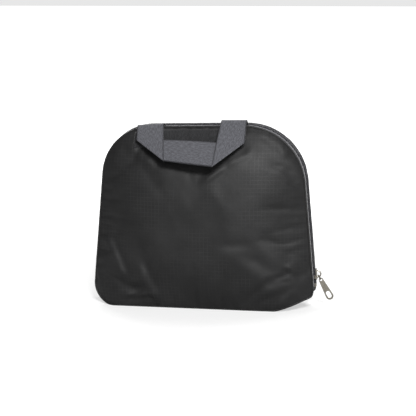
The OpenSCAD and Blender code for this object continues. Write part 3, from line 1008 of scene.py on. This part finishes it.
def fold_path(low_r, high_r):
    """Middle line of one sheet of the pile, in the Y-Z plane, from its front free edge to its back one."""
    y0, y1, y2 = FOLD_Y
    path = [(y0 - low_r, FREE_TOP), (y0 - low_r, FOLD_LOW)]
    path += half_turn(y0, FOLD_LOW, low_r, -math.pi, 0)
    path.append((y0 + low_r, FOLD_HIGH))
    path += half_turn(y1, FOLD_HIGH, high_r, math.pi, 0)
    path.append((y1 + high_r, FOLD_LOW))
    path += half_turn(y2, FOLD_LOW, low_r, -math.pi, 0)
    path.append((y2 + low_r, FREE_TOP))
    return path


def pile_sheet(name, low_r, high_r, thick, seed):
    """A soft folded sheet: two skins that meet round its border, with slack and shallow wrinkles."""
    path = resample(fold_path(low_r, high_r), 300)
    side = outward_of(path)
    run = np.arange(len(path)) * np.linalg.norm(path[1] - path[0])
    xs = PILE_HALF * np.sin(np.linspace(-math.pi / 2, math.pi / 2, 64))
    verts, uv = [], []
    for skin in (1, -1):
        for k, (p, n) in enumerate(zip(path, side)):
            end = min(run[k], run[-1] - run[k])
            for x in xs:
                edge = min(PILE_HALF - abs(x), end)
                puff = math.sqrt(max(0.02, 1 - (1 - min(edge, 3.0) / 3.0) ** 2))
                slack = wander(x, run[k], 38.0, seed) + 0.6 * wander(x, run[k], 13.0, seed + 1)
                wave = math.sin(run[k] / 4.1 + 3 * wander(x, run[k], 25.0, seed + 2))
                pinch = 0.5 * smooth(abs(x), 60, 90) * wave
                level = skin * (thick / 2) * puff + 0.28 * slack + 0.18 * pinch
                pull = 1.6 * wander(run[k], 3.0, 16.0, seed + 4) * smooth(abs(x), 70, PILE_HALF)
                y, z = p + n * level
                verts.append((x * (1 - 0.008 * abs(pull)), y, max(z, 2.0)))
                uv.append((x, run[k]))
    rows, cols = len(path), len(xs)
    skin_size = rows * cols
    faces = grid_faces(rows, cols) + [f[::-1] for f in grid_faces(rows, cols, skin_size)]
    border = list(range(cols)) + [j * cols + cols - 1 for j in range(1, rows)]
    border += [(rows - 1) * cols + i for i in reversed(range(cols - 1))]
    border += [j * cols for j in reversed(range(1, rows - 1))]
    for a, b in zip(border, border[1:] + border[:1]):
        faces.append((a, b, b + skin_size, a + skin_size))
    return make_object(name, verts, faces, uv=uv)


SLEEVE_X, SLEEVE_Y = 47.0, 20.3
SLEEVE_LOW, SLEEVE_HIGH = 10.5, 129.5


def flat_loop(half_w, half_d, count):
    """Points round a flattened tube, evenly spaced."""
    ring = []
    for a in np.linspace(0, 2 * math.pi, 240, endpoint=False):
        c, s = math.cos(a), math.sin(a)
        ring.append((half_w * math.copysign(abs(c) ** 0.35, c), half_d * math.copysign(abs(s) ** 0.75, s)))
    return resample(ring, count, closed=True)


def sleeve(name, side, seed):
    """A flattened arm sleeve: gathered in at its elastic cuff, slack and creased along its length."""
    count, rows = 168, 64
    verts, uv = [], []
    for j in range(rows):
        t = j / (rows - 1)
        z = SLEEVE_LOW + t * (SLEEVE_HIGH - SLEEVE_LOW)
        gather = smooth(t, 0.66, 0.92)
        sway = 1.5 * wander(t * 60, 0, 22.0, seed + 3)
        width = 41.0 - 6.8 * gather - 1.4 * math.sin(math.pi * min(1, t * 1.6)) * (1 - gather)
        depth = 1.6 + 2.5 * smooth(t, 0.0, 0.25) - 0.2 * gather
        pleats = 0.75 * math.exp(-((t - 0.9) / 0.13) ** 2)
        for i, (x, y) in enumerate(flat_loop(width, depth, count)):
            behind = y > 0
            frill = pleats * math.sin(i * 2 * math.pi * 21 / count + 0.6 * math.sin(t * 9))
            soft = (1 - gather) * (0.8 * wander(x, z, 26.0, seed) + 0.5 * wander(x, z, 10.0, seed + 1))
            wave = math.sin(z / 6.5 + 3.5 * wander(x, z, 34.0, seed + 2))
            fold = (1 - gather) * 0.6 * wave * smooth(abs(x), 4, 36)
            puff = 1.7 * (1 - (x / 42) ** 2) * math.sin(math.pi * min(1, t / 0.9)) if behind else 0.0
            push = math.copysign(1.0, y) * (frill + fold) + soft
            farthest = 4.6 + 2.0 * smooth(30 - abs(x), 0, 12)
            place = np.clip(y + puff + (1.0 if behind else 0.3) * push, -4.4, farthest)
            verts.append((side * SLEEVE_X + x + sway, SLEEVE_Y + place, z))
            uv.append((i * 1.6, z))
    faces = ring_faces(rows, count)
    # the sewn bottom end is closed and the cuff end is open
    faces.append((0, 1, count - 1))
    faces += [(i - 1, i, count - i, count - i + 1) for i in range(2, count // 2)]
    return thicken(make_object(name, verts, faces, uv=uv), 0.8)


def cuff(name, side):
    """The braided elastic inside a cuff: a flat ring, ribbed and gathered."""
    count, rows = 160, 8
    verts, uv = [], []
    for j in range(rows):
        z = 119.6 + 8.2 * j / (rows - 1)
        for i, (x, y) in enumerate(flat_loop(32.4, 2.3, count)):
            frill = 0.22 * math.sin(i * 2 * math.pi * 40 / count)
            bulge = 0.15 * math.sin(math.pi * j / (rows - 1))
            verts.append((side * SLEEVE_X + x, SLEEVE_Y + y + math.copysign(1, y) * (frill + bulge) * 0.6, z))
            uv.append((i * 1.1, z))
    return thicken(make_object(name, verts, ring_faces(rows, count), uv=uv), 0.6)


def mouth_zip(name, node, seed):
    """One zip of the changing bag's mouth: a woven tape with small teeth along its upper edge."""
    low, high = (np.array(corner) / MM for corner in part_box(node))
    y = (low[1] + high[1]) / 2
    xs = np.linspace(low[0], high[0], 90)
    rows = []
    for x in xs:
        wave = 0.3 * wander(x, 0, 20.0, seed)
        section = [(-0.42, low[2]), (0.42, low[2]), (0.42, high[2] - 1.4), (-0.42, high[2] - 1.4)]
        rows.append([(x, y + dy + wave * smooth(high[2] - z, 1.5, 6.0), z) for dy, z in section])
    verts = [p for row in rows for p in row]
    pieces = [(verts, ring_faces(len(rows), 4) + end_faces(len(rows), 4))]
    for x in np.arange(low[0] + 0.8, high[0] - 0.8, 1.7):
        loop = [(x, y - 0.75, high[2] - 1.5), (x + 0.25, y - 0.8, high[2] - 0.6),
                (x + 0.4, y, high[2] - 0.35),
                (x + 0.25, y + 0.8, high[2] - 0.6), (x, y + 0.75, high[2] - 1.5)]
        pieces.append(rod(loop, 0.3, 5))
    return scatter(name, pieces)


def facing_patch(panel_obj):
    """The ribbed facing sewn to the panel under the handle, from one leg to the other."""
    mesh = panel_obj.data
    corners = [v.co.copy() for v in mesh.vertices]
    surface = BVHTree.FromPolygons(corners, [list(p.vertices) for p in mesh.polygons])
    height = 17.0
    verts, uv = [], []
    xs, shares = np.linspace(-74, 48, 60), np.linspace(0.0, 1.0, 9)
    for t in shares:
        for x in xs:
            z = crest_height(x) - 3.0 - t * height
            spot = surface.ray_cast(Vector((x * MM, -0.2, z * MM)), Vector((0, 1, 0)))[0]
            if spot is None:
                raise RuntimeError("facing misses the panel")
            verts.append((x, spot.y / MM - 0.35, z))
            uv.append((x, t * height))
    obj = make_object("handle_facing_ribbed", verts, grid_faces(len(shares), len(xs)), uv=uv)
    return thicken(obj, 0.6, 0)


# ---------- build: pouch
camera()
studio()

front = panel("front_panel_cloth", FRONT, FRONT_CREASES, 1)
finish_piece(front, "nylon_black", "front_shell", ["front_panel"])
back = panel("back_panel_cloth", BACK, BACK_CREASES, 2)
finish_piece(back, "nylon_black", "back_flap", ["back_panel"])

finish_piece(base_cloth("base_cloth"), "nylon_black", "front_shell", ["base_gusset"])
for label, sign, body in (("front", FRONT, "front_shell"), ("back", BACK, "back_flap")):
    finish_piece(tape(f"zip_tape_{label}_woven", sign), "zip_tape", body, [f"zip_tape_{label}"])
    finish_piece(coil(f"zip_coil_{label}_teeth", sign), "zip_coil", body, [f"zip_coil_{label}"])
    binding = seam_binding(f"seam_binding_{label}_folded", sign)
    finish_piece(binding, "binding", body, [f"seam_binding_{label}"])
    finish_piece(hem(f"panel_hem_{label}", sign), "nylon_black", body)
    path, outward, step = rim_stations(2.5, BASE_R + 1)
    stitches = stitch_line(f"tape_stitches_{label}", path, outward, sign * 12.6, 0.05)
    finish_piece(stitches, "thread", body)
finish_piece(facing_patch(front), "facing", "front_shell", ["handle_facing"])

rounded_copy("zip_slider", "slider", 0.2)
rounded_copy("zip_pull_tab", "pull_tab", 0.2)
for node in ("zip_bottom_stop", "zip_top_stop_front", "mouth_zip_outer_slider", "mouth_zip_inner_slider"):
    rounded_copy(node, "front_shell", 0.25)
rounded_copy("zip_top_stop_back", "back_flap", 0.25)

for piece in handle_pieces():
    finish_piece(piece, "webbing")
    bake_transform(piece)
    if piece.name == "handle_crosspiece":
        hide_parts("handle_strap")
    else:
        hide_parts("handle_anchors")

# ---------- build: the folded bag
outer = pile_sheet("changing_bag_outer_folded", 6.9, 2.7, 4.5, 21)
finish_piece(outer, "bag_cloth", "front_shell", ["changing_bag_outer"])
lining = pile_sheet("changing_bag_lining_folded", 2.2, 7.4, 3.5, 31)
finish_piece(lining, "bag_lining", "front_shell", ["changing_bag_lining"])
for label, side, seed in (("left", -1, 41), ("right", 1, 51)):
    tube = sleeve(f"arm_sleeve_{label}_cloth", side, seed)
    finish_piece(tube, "bag_cloth", "front_shell", [f"arm_sleeve_{label}"])
    braid = cuff(f"cuff_elastic_{label}_braid", side)
    finish_piece(braid, "elastic", "front_shell", [f"cuff_elastic_{label}"])
for label, seed in (("outer", 61), ("inner", 71)):
    piece = mouth_zip(f"mouth_zip_{label}_teeth", f"mouth_zip_{label}", seed)
    finish_piece(piece, "zip_coil", "front_shell", [f"mouth_zip_{label}"])

# every CAD node that is carried over gets its slot's material
for name, node in frame["nodes"].items():
    slot = next(s["material_slot"] for s in frame["record"]["subparts"] if s["node"] == name)
    node.data.materials.clear()
    node.data.materials.append(MATERIALS[slot])
